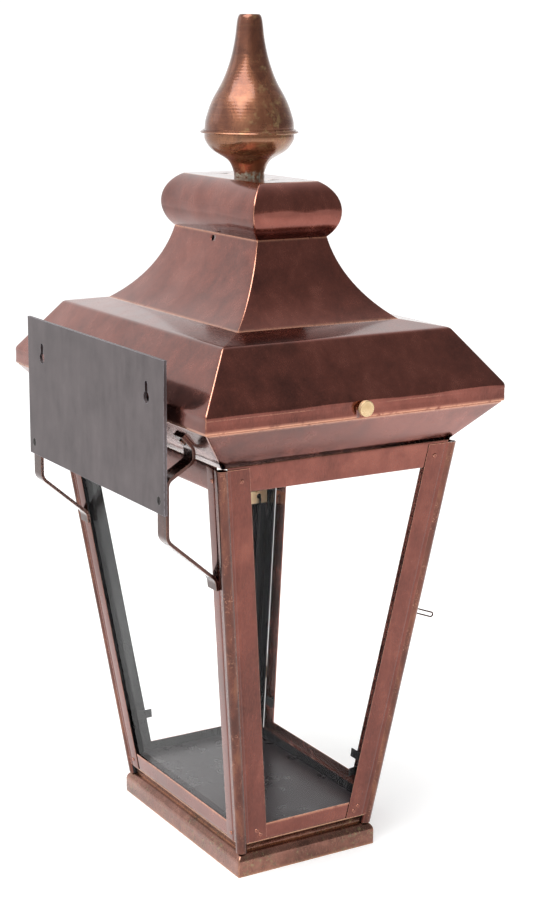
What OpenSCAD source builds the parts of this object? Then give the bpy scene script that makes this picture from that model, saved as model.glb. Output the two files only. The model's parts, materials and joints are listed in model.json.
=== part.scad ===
/* [Overall shape] */
// Half depth of the cage at its foot, measured to the outside of the corner
foot_half = 76; // [66:1:90]
// How much larger every half width is than the half depth at the same height
side_spare = 43; // [20:1:60]
// Half depth of the cage at its top
cage_top_half = 129; // [115:1:135]
// Distance from the wall to the upright centre line
stand_off = 171; // [168:1:185]
// Height of the wall plate's centre above the underside of the base
plate_mid_h = 451; // [448:1:456]
// Thickness of the folded copper sheet
sheet_t = 1.2; // [1:0.1:1.5]

/* [Levels above the base] */
// Top of the base moulding's round
base_top = 23; // [20:1:26]
// Lower edge of the rails and of the post flanges
rail_foot = 33; // [31:1:36]
// Upper face of the floor plate
floor_top = 41; // [39:0.5:42]
// Upper edge of the bottom rails
sill_top = 50; // [48:1:54]
// Lower edge of the top rails
lintel_foot = 399; // [390:1:402]
// Top of the cage
cage_top = 420; // [415:1:421]
// Lower edge of the skirt
skirt_foot = 422; // [421.5:0.5:426]
// Lower edge of the hood's upright band
band_foot = 464; // [460:1:467]
// Upper edge of the hood's upright band
band_top = 480; // [478:1:488]
// Outer edge of the ledge under the roof
shoulder = 531; // [524:1:540]
// Foot of the hollow roof
roof_foot = 537; // [534:1:546]
// Neck of the roof, where the crown starts
roof_neck = 612; // [600:1:620]
// Height of the crown's widest line
belly = 636; // [630:1:642]
// Flat top of the crown
crown_top = 664; // [658:1:666]

/* [Half depths of the hood] */
// At the lower edge of the skirt
skirt_half = 123; // [118:1:126]
// At the upright band
band_half = 161; // [154:1:162]
// At the ledge's outer edge
shoulder_half = 123; // [118:1:128]
// At the roof's foot
roof_foot_half = 88; // [80:1:95]
// At the roof's neck
neck_half = 38.5; // [34:0.5:42]
// At the crown's widest line
belly_half = 48.7; // [46:0.1:51]
// Radius of the hollow roof
roof_r = 129; // [100:1:200]

/* [Posts and glass] */
// Width of a post's flange on the front and back faces
flange_front = 25; // [22:1:28]
// Width of a post's flange on the side faces
flange_side = 31; // [28:1:36]
// Outer radius of the round bead at a post's corner
bead_r = 5.5; // [5:0.1:6]
// Thickness of the glass
glass_t = 3; // [2:0.5:4]

/* [Door] */
// Width of the door's two stiles
stile_w = 19; // [15:1:24]
// Height of the door's two rails
door_rail_h = 17; // [12:1:22]
// Gap between the door's edges and the posts
door_gap = 1; // [0.8:0.1:1.4]
// Length of the wire pull
pull_reach = 48; // [25:1:55]

/* [Wall fixing] */
// Width of the wall plate
plate_w = 293; // [286:1:300]
// Height of the wall plate
plate_h = 140; // [130:1:150]
// Thickness of the wall plate
plate_t = 3; // [2.5:0.5:4]
// Distance from the centre line to each keyhole
keyhole_x = 113; // [95:1:118]
// Height of the keyholes' entry holes above the plate's centre
keyhole_z = 32; // [20:1:40]
// Radius of the keyholes' entry holes
keyhole_r = 5.5; // [4.5:0.5:7]
// Radius of the keyholes' narrow ends
keyhole_slot_r = 2.75; // [2:0.25:3.5]
// Distance from an entry hole to the centre of its narrow end
keyhole_rise = 12; // [9:1:16]
// Width of the two straps
strap_w = 17; // [14:1:20]
// Thickness of the two straps
strap_t = 3.2; // [2.5:0.1:4]
// Distance from the centre line to the middle of each strap
strap_x = 136; // [132:1:137]

/* [Thumbscrews] */
// Radius of a thumbscrew's shank
thumb_r = 3; // [2.5:0.5:3.5]
// Radius of a thumbscrew's head
thumb_head_r = 7.4; // [6:0.1:8.5]
// Height of the thumbscrews
thumb_z = 473; // [472:0.5:475]

/* [Hidden] */
$fn = 48;

// Sides are counted round from the front: 0 front, 1 right, 2 back, 3 left.
front = 0;
right = 1;
back = 2;
left = 3;

copper = [0.45, 0.25, 0.21];
bronze = [0.55, 0.33, 0.2];
brass = [0.8, 0.65, 0.4];
steel = [0.2, 0.19, 0.19];
clear = [0.8, 0.85, 0.85, 0.3];

eps = 0.01;
lean = (cage_top_half - foot_half) / (cage_top - base_top);
lean_deg = atan(lean);
splay = sin(lean_deg);
splay_deg = atan(splay);
bead_inset = 4;
bead_wall = 1.1;
glass_depth = 2 * sheet_t + 0.2;
glass_inset = 16;
upstand_half = band_half - sheet_t - 0.8;
upstand_top = band_top + 0.2;
plate_face = stand_off - plate_t;
thumb_face = band_half + side_spare;
rivet_r = 2;
post_rivet_r = 1.2;
clip_z = 82;
clip_t = 0.8;
clip_tall = 9;
clip_gap = 0.2;
door_foot = sill_top - 6;
door_head = lintel_foot + 6;
door_proud = 0.4;
door_edge = flange_front + door_gap;
door_glass_depth = sheet_t - door_proud + 0.2;
hinge_inset = flange_front + door_gap / 2;
hinge_proud = 2.6;
hinge_r = 2.1;
hinge_pin_r = 1;
hinge_len = 40;
hinge_gap = 0.4;
hinge_heights = [110, 330];
hinge_leaf_w = 13;
hinge_leaf_t = 1;
hinge_end_t = 0.6;
stud_r = 4;
finial_wall = 1.5;
finial_nut_h = 6.5;
bolt_z = -58;
bolt_r = 1.75;
bolt_head_r = 4.2;
plate_nut_h = 2.6;
lamp_bar_z = skirt_foot + sheet_t;
lamp_bar_t = 2.5;
lamp_nut_h = 3;
nipple_r = 5;
lug_z = 300;
lug_hole_y = 10;
lug_inset = 13;
rod_r = 1.2;
keyhole_xs = [keyhole_x, -keyhole_x];
strap_xs = [strap_x, -strap_x];
strap_plane = plate_face - strap_t;
strap_top = 452;
strap_leave = 439;
strap_turn = 426;
strap_meet = 410;
strap_kink = 357;
strap_land = 314;
strap_end = 303;
strap_rivet_z = 446;
skirt_slope = (upstand_half - skirt_half) / (band_foot - 1.5 - skirt_foot);

function unit(v) = v / norm(v);
function left_of(v) = [-v[1], v[0]];

// Points of an arc from p to q. A positive radius turns left, a negative one right.
function arc_between(p, q, r, n = 12) =
    let (d = q - p,
        way = sign(r),
        c = (p + q) / 2 + way * sqrt(r * r - d * d / 4) * left_of(unit(d)),
        start = atan2(p[1] - c[1], p[0] - c[0]),
        sweep = way * 2 * asin(norm(d) / 2 / abs(r)))
    [for (i = [0:n]) c + abs(r) * [cos(start + sweep * i / n), sin(start + sweep * i / n)]];

// A path with each inner corner eased over the distance e on both sides of it.
function eased(p, e, n = 5) = concat([p[0]],
    [for (i = [1:len(p) - 2])
        let (a = p[i] - e * unit(p[i] - p[i - 1]), c = p[i] + e * unit(p[i + 1] - p[i]))
        for (j = [0:n])
            let (s = j / n) (1 - s) * (1 - s) * a + 2 * s * (1 - s) * p[i] + s * s * c],
    [p[len(p) - 1]]);

// The outline of a sheet whose one surface follows a path, with its thickness
// on the left of the path, or on the right when t is negative.
function shift(p, i, t) =
    let (a = unit(i > 0 ? p[i] - p[i - 1] : p[1] - p[0]),
        b = unit(i < len(p) - 1 ? p[i + 1] - p[i] : p[i] - p[i - 1]),
        m = left_of(a) + left_of(b))
    2 * t * m / (m * m);
function sheet(p, t) = concat(p,
    [for (i = [len(p) - 1:-1:0]) p[i] + shift(p, i, t)]);

// A smooth curve through key points.
function spline_point(p, i, s) =
    let (a = p[max(i - 1, 0)], b = p[i], c = p[i + 1], d = p[min(i + 2, len(p) - 1)])
    b + s / 2 * (c - a) + s * s * (a - 2.5 * b + 2 * c - d / 2)
    + s * s * s * (1.5 * (b - c) + (d - a) / 2);
function spline(p, n = 6) = concat(
    [for (i = [0:len(p) - 2]) for (j = [0:n - 1]) spline_point(p, i, j / n)],
    [p[len(p) - 1]]);

function face_half(z) = foot_half + (z - base_top) * lean;
function reach(k) = k % 2 == 0 ? 0 : side_spare;
function face_w(k) = foot_half + side_spare - reach(k);
function up(z) = (z - base_top) / cos(lean_deg);
function skirt_out(z) = skirt_half + (z - skirt_foot) * skirt_slope;
lug_x = face_half(lug_z) + side_spare - lug_inset;
lug_y = bead_inset - face_half(lug_z);
function edge_x(k, inset, z) = face_w(k) - inset + splay * up(z);

// Moves a shape drawn round the lantern's own centre line, from its base up,
// to the frame whose origin is the middle of the wall plate's wall face.
module placed() {
    translate([0, -stand_off, -plate_mid_h])
        children();
}

// A panel of side k with mitred ends. Its child is the outline, drawn with the
// half depth across and the height up.
module mitred(k) {
    far = 300;
    apex = side_spare - reach(k);
    rotate([0, 0, 90 * k])
        intersection() {
            translate([0, -reach(k), 0])
                rotate([90, 0, -90])
                linear_extrude(2 * far, center = true)
                children();
            linear_extrude(2 * crown_top)
                polygon(k % 2 == 0
                    ? [[apex, 0], [-apex, 0], [-apex - far, -far], [apex + far, -far]]
                    : [[0, -side_spare], [-far, -side_spare - far], [far, -side_spare - far]]);
        }
}

// Puts a shape on a leaning cage face: X along the face, Y up it, Z out of it.
module on_face(k) {
    rotate([0, 0, 90 * k])
        translate([0, -foot_half - reach(k), base_top])
        rotate([90 + lean_deg, 0, 0])
        children();
}

// A strip beside the right (way = 1) or left (way = -1) edge of a face, from one
// inset to another, with its outer surface at the given depth under the face.
module edge_strip(k, way, inset_a, inset_b, z0, z1, depth, t) {
    on_face(k)
        translate([0, 0, -depth - t])
        linear_extrude(t)
        polygon([for (c = [[inset_b, z0], [inset_a, z0], [inset_a, z1], [inset_b, z1]])
            [way * edge_x(k, c[0], c[1]), up(c[1])]]);
}

// A strip right across a face, its ends following the face's two edges.
module cross_strip(k, inset, z0, z1, depth, t) {
    on_face(k)
        translate([0, 0, -depth - t])
        linear_extrude(t)
        polygon([[-edge_x(k, inset, z0), up(z0)], [edge_x(k, inset, z0), up(z0)],
            [edge_x(k, inset, z1), up(z1)], [-edge_x(k, inset, z1), up(z1)]]);
}

// A cylinder along the front right post's corner, between two heights.
module corner_rod_shape(r, z0, z1) {
    tilt = acos(1 / norm([lean, lean, 1]));
    translate([face_half(z0) + side_spare - bead_inset, bead_inset - face_half(z0), z0])
        rotate([0, tilt, -45])
        cylinder(h = (z1 - z0) / cos(tilt), r = r);
}

// Repeats a shape of the front right corner at another corner.
module at_corner(right_side, front_side) {
    mirror([right_side ? 0 : 1, 0, 0])
        mirror([0, front_side ? 0 : 1, 0])
        children();
}

module post(right_side, front_side) {
    color(copper)
        placed()
        at_corner(right_side, front_side)
        difference() {
            union() {
                corner_rod_shape(bead_r, base_top + 1, cage_top - 1);
                edge_strip(front, 1, bead_inset, flange_front,
                    rail_foot, cage_top, 0, sheet_t);
                edge_strip(right, -1, bead_inset, flange_side,
                    rail_foot, cage_top, 0, sheet_t);
            }
            corner_rod_shape(bead_r - bead_wall, base_top - 5, cage_top + 5);
            post_rivet_shanks();
        }
}

// The places of one corner's rivets, as [side, way, inset, height].
post_rivet_spots = [[front, 1, 16, 410], [right, -1, 22, 410],
    [front, 1, 16, 41], [right, -1, 20, 45], [right, -1, 24, 40]];

module at_rivets() {
    for (s = post_rivet_spots)
        on_face(s[0])
            translate([s[1] * edge_x(s[0], s[2], s[3]), up(s[3]), 0])
            children();
}

module post_rivet_shanks() {
    at_rivets()
        translate([0, 0, -2 * sheet_t - eps])
        cylinder(h = 2 * sheet_t + 2 * eps, r = post_rivet_r);
}

module post_rivets() {
    head_t = 0.7;
    head_r = 2.2;
    color(copper)
        placed()
        for (r = [true, false], f = [true, false])
            at_corner(r, f)
                at_rivets()
                difference() {
                    union() {
                        translate([0, 0, -2 * sheet_t])
                            cylinder(h = 2 * sheet_t, r = post_rivet_r);
                        cylinder(h = head_t, r1 = head_r, r2 = head_r - 0.5);
                    }
                    translate([0, 0, -head_t])
                        cylinder(h = 2 * head_t + eps, r = post_rivet_r / 2);
                }
}

module all_rivet_shanks() {
    for (r = [true, false], f = [true, false])
        at_corner(r, f)
            post_rivet_shanks();
}

// The four rails between two heights, behind the posts' flanges.
module rails(z0, z1) {
    color(copper)
        placed()
        difference() {
            for (k = [front:left])
                cross_strip(k, bead_inset + bead_r + 0.5, z0, z1, sheet_t, sheet_t);
            all_rivet_shanks();
        }
}

module base_side(k) {
    torus_half = 79;
    torus_r = 9.5;
    notch_half = 71.5;
    foot_lip = 9;
    cove_r = 12;
    rail_plane = face_half(rail_foot) - sheet_t;
    path = concat([[torus_half - foot_lip, 0], [torus_half, 0]],
        arc_between([torus_half, base_top - torus_r - 1],
            [notch_half, base_top], torus_r, 8),
        arc_between([notch_half + 0.3, base_top + 1], [rail_plane, rail_foot - 1], -cove_r, 5),
        [[rail_plane, rail_foot + sheet_t * splay]]);
    color(copper)
        placed()
        difference() {
            mitred(k)
                polygon(sheet(path, sheet_t));
            for (r = [true, false], f = [true, false])
                at_corner(r, f)
                    corner_rod_shape(bead_r + 0.1, base_top - 1, rail_foot + 5);
        }
}

module floor_plate() {
    t = 1.5;
    hd = face_half(floor_top - t) - 2 * sheet_t - 0.6;
    hw = hd + side_spare;
    cut = 16;
    color(steel)
        placed()
        translate([0, 0, floor_top - t])
        linear_extrude(t)
        polygon([[hw - cut, -hd], [hw, cut - hd], [hw, hd - cut], [hw - cut, hd],
            [cut - hw, hd], [-hw, hd - cut], [-hw, cut - hd], [cut - hw, -hd]]);
}

module glass(k) {
    color(clear)
        placed()
        cross_strip(k, glass_inset, floor_top + 2, lintel_foot + 8, glass_depth, glass_t);
}

// Bent tabs that hold both upright edges of a pane, from their roots to their tips
// across the face, round a pane whose inner surface is at the given depth. They
// stand on sheet whose inner surface is at the depth foot.
module clips(k, root, tip, depth, foot) {
    seat = depth + clip_gap;
    color(steel)
        placed()
        for (way = [-1, 1])
            on_face(k)
                translate([way * edge_x(k, root, clip_z), up(clip_z), 0])
                mirror([way > 0 ? 1 : 0, 0, 0])
                translate([0, -clip_tall / 2, -seat - clip_t]) {
                    cube([clip_t, clip_tall, seat + clip_t - foot]);
                    cube([tip - root, clip_tall, clip_t]);
                }
}

module glass_clips() {
    for (k = [right, back, left])
        clips(k, glass_inset - 1.5, (k == back ? flange_front : flange_side) + 5,
            glass_depth + glass_t, sheet_t);
}

module skirt(k) {
    inner_lip = 23;
    path = [[skirt_half - inner_lip, skirt_foot], [skirt_half, skirt_foot],
        [upstand_half, band_foot - 1.5], [upstand_half, upstand_top]];
    color(copper)
        placed()
        difference() {
            mitred(k)
                polygon(sheet(path, sheet_t));
            if (k % 2 == 1) thumb_holes(thumb_r + 0.3);
            if (k == back) strap_rivet_shanks();
        }
}

// Holes along both thumbscrews.
module thumb_holes(r) {
    translate([-2 * thumb_face, 0, thumb_z])
        rotate([0, 90, 0])
        cylinder(h = 4 * thumb_face, r = r);
}

module hood(k) {
    path = eased([[roof_foot_half, roof_foot], [shoulder_half, shoulder],
        [band_half, band_top], [band_half, band_foot]], 2.5, 4);
    slot_r = thumb_r + 0.4;
    color(copper)
        placed()
        difference() {
            mitred(k)
                polygon(sheet(path, -sheet_t));
            if (k % 2 == 1) {
                thumb_holes(slot_r);
                translate([-2 * thumb_face, -slot_r, band_foot - 5])
                    cube([4 * thumb_face, 2 * slot_r, thumb_z - band_foot + 5]);
            }
        }
}

module roof(k) {
    path = arc_between([neck_half, roof_neck], [roof_foot_half, roof_foot], roof_r, 16);
    vent_r = 2.7;
    color(copper)
        placed()
        difference() {
            mitred(k)
                polygon(sheet(path, -sheet_t));
            if (k == back)
                translate([0, 0, roof_neck - 5])
                    rotate([-90, 0, 0])
                    cylinder(h = 2 * neck_half, r = vent_r);
        }
}

module crown(k) {
    swell = belly_half - neck_half;
    rise = belly - roof_neck;
    low_r = (rise * rise + swell * swell) / (2 * swell);
    top_r = 31.7;
    top_half = belly_half - top_r + sqrt(top_r * top_r - pow(crown_top - belly, 2));
    path = concat(
        arc_between([neck_half, roof_neck], [belly_half, belly], low_r, 8),
        arc_between([belly_half, belly + 0.5], [top_half, crown_top], top_r, 10),
        [[0, crown_top]]);
    color(copper)
        placed()
        difference() {
            mitred(k)
                polygon(sheet(path, sheet_t));
            cylinder(h = 2 * crown_top, r = stud_r + 0.3);
        }
}

module finial_top() {
    outer = spline([[43.2, 45.5], [42, 55], [35.8, 72.5], [25.5, 91.5], [18.6, 110],
        [14.4, 128.5], [12.2, 146], [10.6, 151.5]]);
    inner = [for (i = [len(outer) - 1:-1:0]) [outer[i][0] - finial_wall, outer[i][1]]];
    color(bronze)
        placed()
        translate([0, 0, crown_top])
        rotate_extrude($fn = 96)
        difference() {
            polygon(concat([[stud_r, 43.7], [45, 43.7], [45, 45.5]], outer,
                [[9.5, 152.5], [0, 152.5], [0, 150], [inner[0][0], 150]], inner,
                [[stud_r, 45.2]]));
            square([stud_r, 148]);
        }
}

module finial_bowl() {
    outer = spline([[14, 0], [15.4, 6], [20.7, 16], [35.5, 25.2], [42.8, 35], [43.2, 41.5]]);
    inner = [for (i = [len(outer) - 1:-1:0]) [outer[i][0] - finial_wall, outer[i][1] + 1.2]];
    color(bronze)
        placed()
        translate([0, 0, crown_top])
        rotate_extrude($fn = 96)
        difference() {
            polygon(concat([[0, 0]], outer,
                [[46.6, 41.5], [47.6, 42.6], [46.6, 43.7], [41.7, 43.7]], inner, [[0, 1.2]]));
            square([stud_r, 3]);
        }
}

module finial_stud() {
    below = 24;
    above = 147;
    color(steel)
        placed()
        translate([0, 0, crown_top - below])
        cylinder(h = below + above, r = stud_r);
}

// A hexagonal nut, standing on its own origin.
module nut(tall, corner_r, bore_r) {
    difference() {
        cylinder(h = tall, r = corner_r, $fn = 6);
        translate([0, 0, -1])
            cylinder(h = tall + 2, r = bore_r);
    }
}

module finial_nut() {
    color(brass)
        placed()
        translate([0, 0, crown_top - sheet_t - finial_nut_h])
        nut(finial_nut_h, 7.5, stud_r);
}

module wall_plate() {
    color(steel)
        difference() {
            translate([-plate_w / 2, -plate_t, -plate_h / 2])
                cube([plate_w, plate_t, plate_h]);
            for (x = keyhole_xs)
                translate([x, eps, keyhole_z])
                    rotate([90, 0, 0]) {
                        cylinder(h = plate_t + 2 * eps, r = keyhole_r);
                        translate([0, keyhole_rise, 0])
                            cylinder(h = plate_t + 2 * eps, r = keyhole_slot_r);
                        translate([-keyhole_slot_r, 0, 0])
                            cube([2 * keyhole_slot_r, keyhole_rise, plate_t + 2 * eps]);
                    }
            plate_bolt_shapes();
        }
}

// The countersunk bolts, pointing away from the wall.
module plate_bolt_shapes() {
    for (x = strap_xs)
        translate([x, 0, bolt_z])
            rotate([90, 0, 0]) {
                cylinder(h = bolt_head_r - bolt_r, r1 = bolt_head_r, r2 = bolt_r);
                cylinder(h = plate_t + strap_t + plate_nut_h + 0.8, r = bolt_r);
            }
}

module plate_bolts() {
    slot_w = 1.2;
    slot_deep = 1;
    color(steel)
        difference() {
            plate_bolt_shapes();
            for (x = strap_xs)
                translate([x - slot_w / 2, -slot_deep, bolt_z - bolt_head_r])
                    cube([slot_w, 2 * slot_deep, 2 * bolt_head_r]);
        }
}

module plate_nuts() {
    color(steel)
        for (x = strap_xs)
            translate([x, -plate_t - strap_t, bolt_z])
                rotate([90, 0, 0])
                nut(plate_nut_h, 3.5, bolt_r);
}

// The strap's inner surface: on the skirt, out to the wall plate, down behind it,
// and back in to the post's flange. Across is the distance behind the centre line.
strap_path = eased([[skirt_out(strap_top), strap_top], [skirt_out(strap_leave), strap_leave],
    [skirt_out(strap_leave), strap_turn], [strap_plane, strap_meet],
    [strap_plane, strap_kink], [face_half(strap_land), strap_land],
    [face_half(strap_end), strap_end]], 4.5, 4);

// Cylinders along the rivets at the straps' tops, square to the skirt.
module strap_rivet_shanks(r = rivet_r, below = 6, above = 6) {
    for (x = strap_xs)
        translate([x, skirt_out(strap_rivet_z), strap_rivet_z])
            rotate([-90 - atan(skirt_slope), 0, 0])
            translate([0, 0, -below])
            cylinder(h = below + above, r = r);
}

module strap(way) {
    color(copper)
        difference() {
            placed()
                difference() {
                    translate([way * strap_x, 0, 0])
                        rotate([90, 0, 90])
                        linear_extrude(strap_w, center = true)
                        polygon(sheet(strap_path, strap_t));
                    strap_rivet_shanks();
                }
            plate_bolt_shapes();
        }
}

module strap_rivets() {
    head_t = 1.6;
    tail_t = 1;
    color(bronze)
        placed() {
            strap_rivet_shanks(rivet_r, sheet_t, strap_t);
            strap_rivet_heads(strap_t, head_t, 3.6);
            strap_rivet_heads(-sheet_t - tail_t, tail_t, 3);
        }
}

// Flat heads of a given thickness, their near face at a height over the sheet.
module strap_rivet_heads(height, thick, r) {
    difference() {
        strap_rivet_shanks(r, -height, height + thick);
        strap_rivet_shanks(rivet_r - 0.2, -height - thick + 0.4, height + thick + 1);
    }
}

module corner_lug() {
    lug_t = 1.5;
    tall = 14;
    deep = 26;
    color(brass)
        placed()
        difference() {
            translate([lug_x, lug_y, lug_z - tall / 2])
                cube([lug_t, deep, tall]);
            translate([lug_x - 1, lug_y + lug_hole_y, lug_z + 1])
                rotate([0, 90, 0])
                cylinder(h = lug_t + 2, r = 3);
        }
}

// The rod hangs from the lug's hole by a short hook and leans with the corner.
module corner_rod() {
    bend_r = 3;
    top = lug_z + 1;
    drop = up(top - bend_r) - up(floor_top) - 1;
    color(steel)
        placed()
        translate([lug_x - 1.9, lug_y + lug_hole_y, top]) {
            translate([0, 0, -bend_r])
                rotate([180, 0, 0])
                rotate([lean_deg, -lean_deg, 0])
                cylinder(h = drop, r = rod_r);
            translate([bend_r, 0, -bend_r])
                rotate([90, 0, 0])
                rotate([0, 0, 90])
                rotate_extrude(angle = 90)
                translate([bend_r, 0])
                circle(r = rod_r);
            translate([bend_r, 0, 0])
                rotate([0, 90, 0])
                cylinder(h = 3, r = rod_r);
        }
}

module lamp_bar() {
    half = skirt_half + side_spare - 12;
    half_w = 11;
    color(steel)
        placed()
        translate([0, 0, lamp_bar_z])
        difference() {
            translate([-half, -half_w, 0])
                cube([2 * half, 2 * half_w, lamp_bar_t]);
            translate([0, 0, -1])
                cylinder(h = lamp_bar_t + 2, r = nipple_r);
        }
}

module lamp_nipple() {
    half_len = 12;
    bore_r = 3.8;
    color(brass)
        placed()
        translate([0, 0, lamp_bar_z])
        difference() {
            cylinder(h = 2 * half_len, r = nipple_r, center = true);
            cylinder(h = 3 * half_len, r = bore_r, center = true);
        }
}

module lamp_nuts() {
    color(brass)
        placed()
        for (z = [lamp_bar_z - lamp_nut_h, lamp_bar_z + lamp_bar_t])
            translate([0, 0, z])
                nut(lamp_nut_h, 9, nipple_r);
}

module lamp_holder() {
    color(steel)
        placed()
        translate([0, 0, lamp_bar_z - lamp_nut_h])
        rotate_extrude()
        polygon([[nipple_r, 0], [13, 0], [15, -2], [18.5, -16], [18.5, -44], [13.3, -44],
            [13.3, -16], [11, -12], [nipple_r, -12]]);
}

// A thumbscrew, drawn along Z with its head up and the origin at the band's face.
module thumb(way) {
    gap = 3;
    head_t = 3.6;
    rim = 0.8;
    shank = 9.5;
    color(brass)
        placed()
        translate([way * thumb_face, 0, thumb_z])
        rotate([0, way * 90, 0]) {
            translate([0, 0, -shank])
                cylinder(h = shank + gap, r = thumb_r);
            translate([0, 0, gap])
                cylinder(h = head_t, r = thumb_head_r);
            translate([0, 0, gap + head_t])
                cylinder(h = rim, r1 = thumb_head_r, r2 = thumb_head_r - rim);
        }
}

module thumb_nuts() {
    seat = upstand_half + side_spare - sheet_t;
    color(brass)
        placed()
        for (way = [1, -1])
            translate([way * seat, 0, thumb_z])
                rotate([0, -way * 90, 0])
                nut(5, 6, thumb_r + 0.1);
}

// Puts a shape on the door's hinge line at a height: X away from the door,
// Y up the hinge line, Z out of the face, with the origin on the pin's axis.
module on_hinge(z) {
    on_face(front)
        translate([edge_x(front, hinge_inset, z), up(z), hinge_proud])
        rotate([0, 0, -splay_deg])
        children();
}

module hinge_pins() {
    color(brass)
        placed()
        for (z = hinge_heights)
            on_hinge(z)
                rotate([-90, 0, 0]) {
                    cylinder(h = hinge_len + 2 * hinge_end_t, r = hinge_pin_r, center = true);
                    for (way = [-1, 1])
                        translate([0, 0, way * (hinge_len / 2 + hinge_end_t + 0.2)])
                            cylinder(h = hinge_end_t, r = hinge_r - 0.2, center = true);
                }
}

// One hinge leaf: a plate from the pin outwards, and its knuckles.
module hinge_leaf(way, low, spans) {
    bore = hinge_pin_r + 0.1;
    difference() {
        union() {
            translate([way > 0 ? hinge_r + hinge_gap : -hinge_leaf_w,
                    -hinge_len / 2, low - hinge_proud])
                cube([hinge_leaf_w - hinge_r - hinge_gap, hinge_len, hinge_leaf_t]);
            for (s = spans) {
                translate([0, s[0], 0])
                    rotate([-90, 0, 0])
                    cylinder(h = s[1] - s[0], r = hinge_r);
                translate([way > 0 ? 0 : -hinge_r - 1, s[0], low - hinge_proud])
                    cube([hinge_r + 1, s[1] - s[0], hinge_leaf_t]);
            }
        }
        translate([0, -hinge_len, 0])
            rotate([-90, 0, 0])
            cylinder(h = 2 * hinge_len, r = bore);
    }
}

module hinge_post_leaves() {
    third = hinge_len / 6;
    color(brass)
        placed()
        for (z = hinge_heights)
            on_hinge(z)
                hinge_leaf(1, 0, [[-third, third]]);
}

module hinge_door_leaves() {
    third = hinge_len / 6 + hinge_gap;
    color(brass)
        placed()
        for (z = hinge_heights)
            on_hinge(z)
                hinge_leaf(-1, door_proud,
                    [[-hinge_len / 2, -third], [third, hinge_len / 2]]);
}

module door_stiles() {
    color(copper)
        placed()
        for (way = [-1, 1])
            edge_strip(front, way, door_edge, door_edge + stile_w, door_foot, door_head,
                -door_proud, sheet_t);
}

module door_rails() {
    color(copper)
        placed()
        for (z = [door_foot, door_head - door_rail_h])
            cross_strip(front, door_edge + stile_w, z, z + door_rail_h,
                -door_proud, sheet_t);
}

module door_glass() {
    color(clear)
        placed()
        cross_strip(front, door_edge + 10, sill_top + 3, lintel_foot - 3,
            door_glass_depth, glass_t);
}

module door_clips() {
    clips(front, door_edge + 8.5, door_edge + stile_w + 4.5,
        door_glass_depth + glass_t, sheet_t - door_proud);
}

// A wire hairpin that stands out of the door's free stile and droops a little.
module door_pull() {
    z = 245;
    wire_r = 0.8;
    loop_r = 2.3;
    straight = pull_reach - loop_r - wire_r;
    color(copper)
        placed()
        on_face(front)
        translate([-edge_x(front, door_edge + stile_w / 2, z), up(z), door_proud + 0.72])
        rotate([13, 0, 0]) {
            for (s = [-1, 1])
                translate([0, s * loop_r, 0])
                    cylinder(h = straight, r = wire_r);
            translate([0, 0, straight])
                rotate([0, -90, 0])
                rotate([0, 0, -90])
                rotate_extrude(angle = 180)
                translate([loop_r, 0])
                circle(r = wire_r);
        }
}

finial_top();
finial_bowl();
finial_stud();
finial_nut();
crown(front);  // crown_front
crown(right);  // crown_right
crown(back);  // crown_back
crown(left);  // crown_left
roof(front);  // roof_front
roof(right);  // roof_right
roof(back);  // roof_back
roof(left);  // roof_left
hood(front);  // hood_front
hood(right);  // hood_right
hood(back);  // hood_back
hood(left);  // hood_left
skirt(front);  // skirt_front
skirt(right);  // skirt_right
skirt(back);  // skirt_back
skirt(left);  // skirt_left
post(true, true);  // post_front_right
post(false, true);  // post_front_left
post(true, false);  // post_back_right
post(false, false);  // post_back_left
rails(lintel_foot, skirt_foot + 0.8);  // top_rails
rails(rail_foot, sill_top);  // bottom_rails
base_side(front);  // base_front
base_side(right);  // base_right
base_side(back);  // base_back
base_side(left);  // base_left
floor_plate();
glass(right);  // glass_right
glass(back);  // glass_back
glass(left);  // glass_left
glass_clips();
wall_plate();
strap(1);  // strap_right
strap(-1);  // strap_left
plate_bolts();
plate_nuts();
strap_rivets();
post_rivets();
corner_lug();
corner_rod();
lamp_bar();
lamp_nipple();
lamp_nuts();
lamp_holder();
thumb(1);  // thumb_right
thumb(-1);  // thumb_left
thumb_nuts();
hinge_post_leaves();
hinge_pins();
hinge_door_leaves();
door_stiles();
door_rails();
door_glass();
door_clips();
door_pull();
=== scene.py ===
"""A copper wall lantern: the looks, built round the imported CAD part."""
import json
import math

import bmesh
import bpy
from mathutils import Matrix, Vector, noise

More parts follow.
